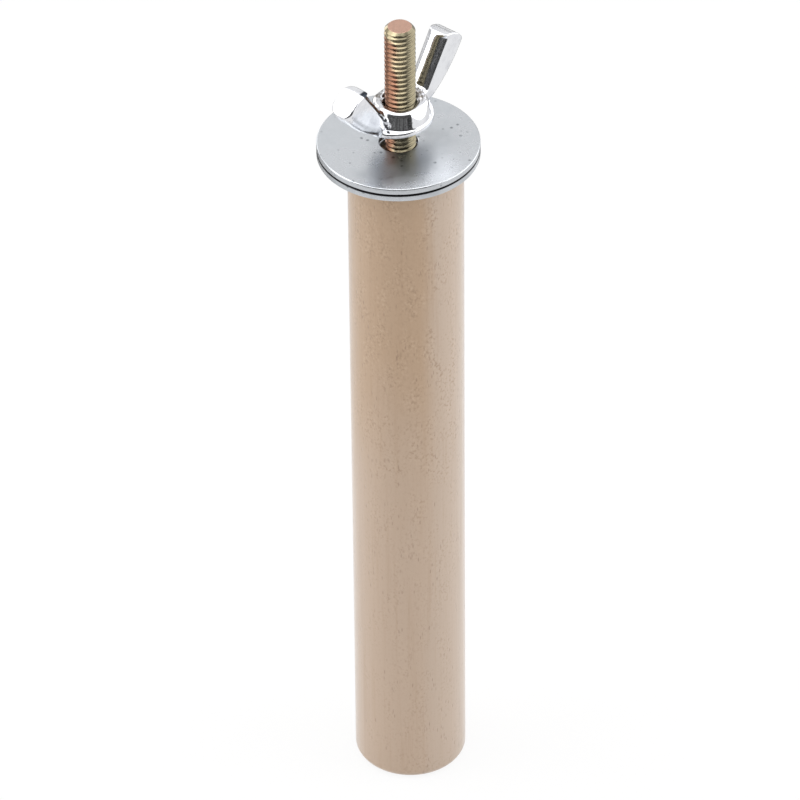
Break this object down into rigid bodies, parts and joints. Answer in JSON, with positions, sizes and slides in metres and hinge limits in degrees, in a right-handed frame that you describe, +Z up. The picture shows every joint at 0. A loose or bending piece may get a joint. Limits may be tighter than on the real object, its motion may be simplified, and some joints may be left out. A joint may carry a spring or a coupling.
{
  "type": "bird perch",
  "caption": "Straight wooden dowel perch for a bird cage, with a hanger bolt, washers and a wing nut that clamp it to the cage wall.",
  "frame": {"origin": "middle of the dowel's free end, which the perch stands on", "axes": "+Z up along the dowel, from its free end to the bolt; +X to the right and +Y away in the picture's view"},
  "size_m": [0.021, 0.021, 0.12],
  "materials": {
    "sanded_wood": "sanded, unvarnished",
    "yellow_zinc": "steel, yellow zinc plated",
    "washer_steel": "satin zinc, finely scratched",
    "bright_plating": "bright plating"
  },
  "bodies": {
    "perch": {"wood_rod": "sanded_wood", "hanger_bolt": "yellow_zinc"},
    "lower_washer": {"lower_washer": "washer_steel"},
    "upper_washer": {"upper_washer": "washer_steel"},
    "wing_nut": {"wing_nut": "bright_plating"}
  },
  "joints": [
    {"name": "wing_nut_turn", "type": "hinge", "parent": "perch", "child": "lower_washer", "pos_m": [-0.0006, -0.0003, 0.1], "axis": [0, 0, -1], "range_deg": [-7380, 648]},
    {"name": "wing_nut_travel", "type": "slide", "parent": "lower_washer", "child": "wing_nut", "axis": [0, 0, -1], "range_m": [-0.01435, 0.00126]},
    {"name": "upper_washer_lift", "type": "slide", "parent": "perch", "child": "upper_washer", "axis": [0, 0, 1], "range_m": [0, 0.0023]}
  ],
  "couplings": [
    {"joint": "wing_nut_travel", "follows": "wing_nut_turn", "m_per_rad": 0.00011141}
  ]
}
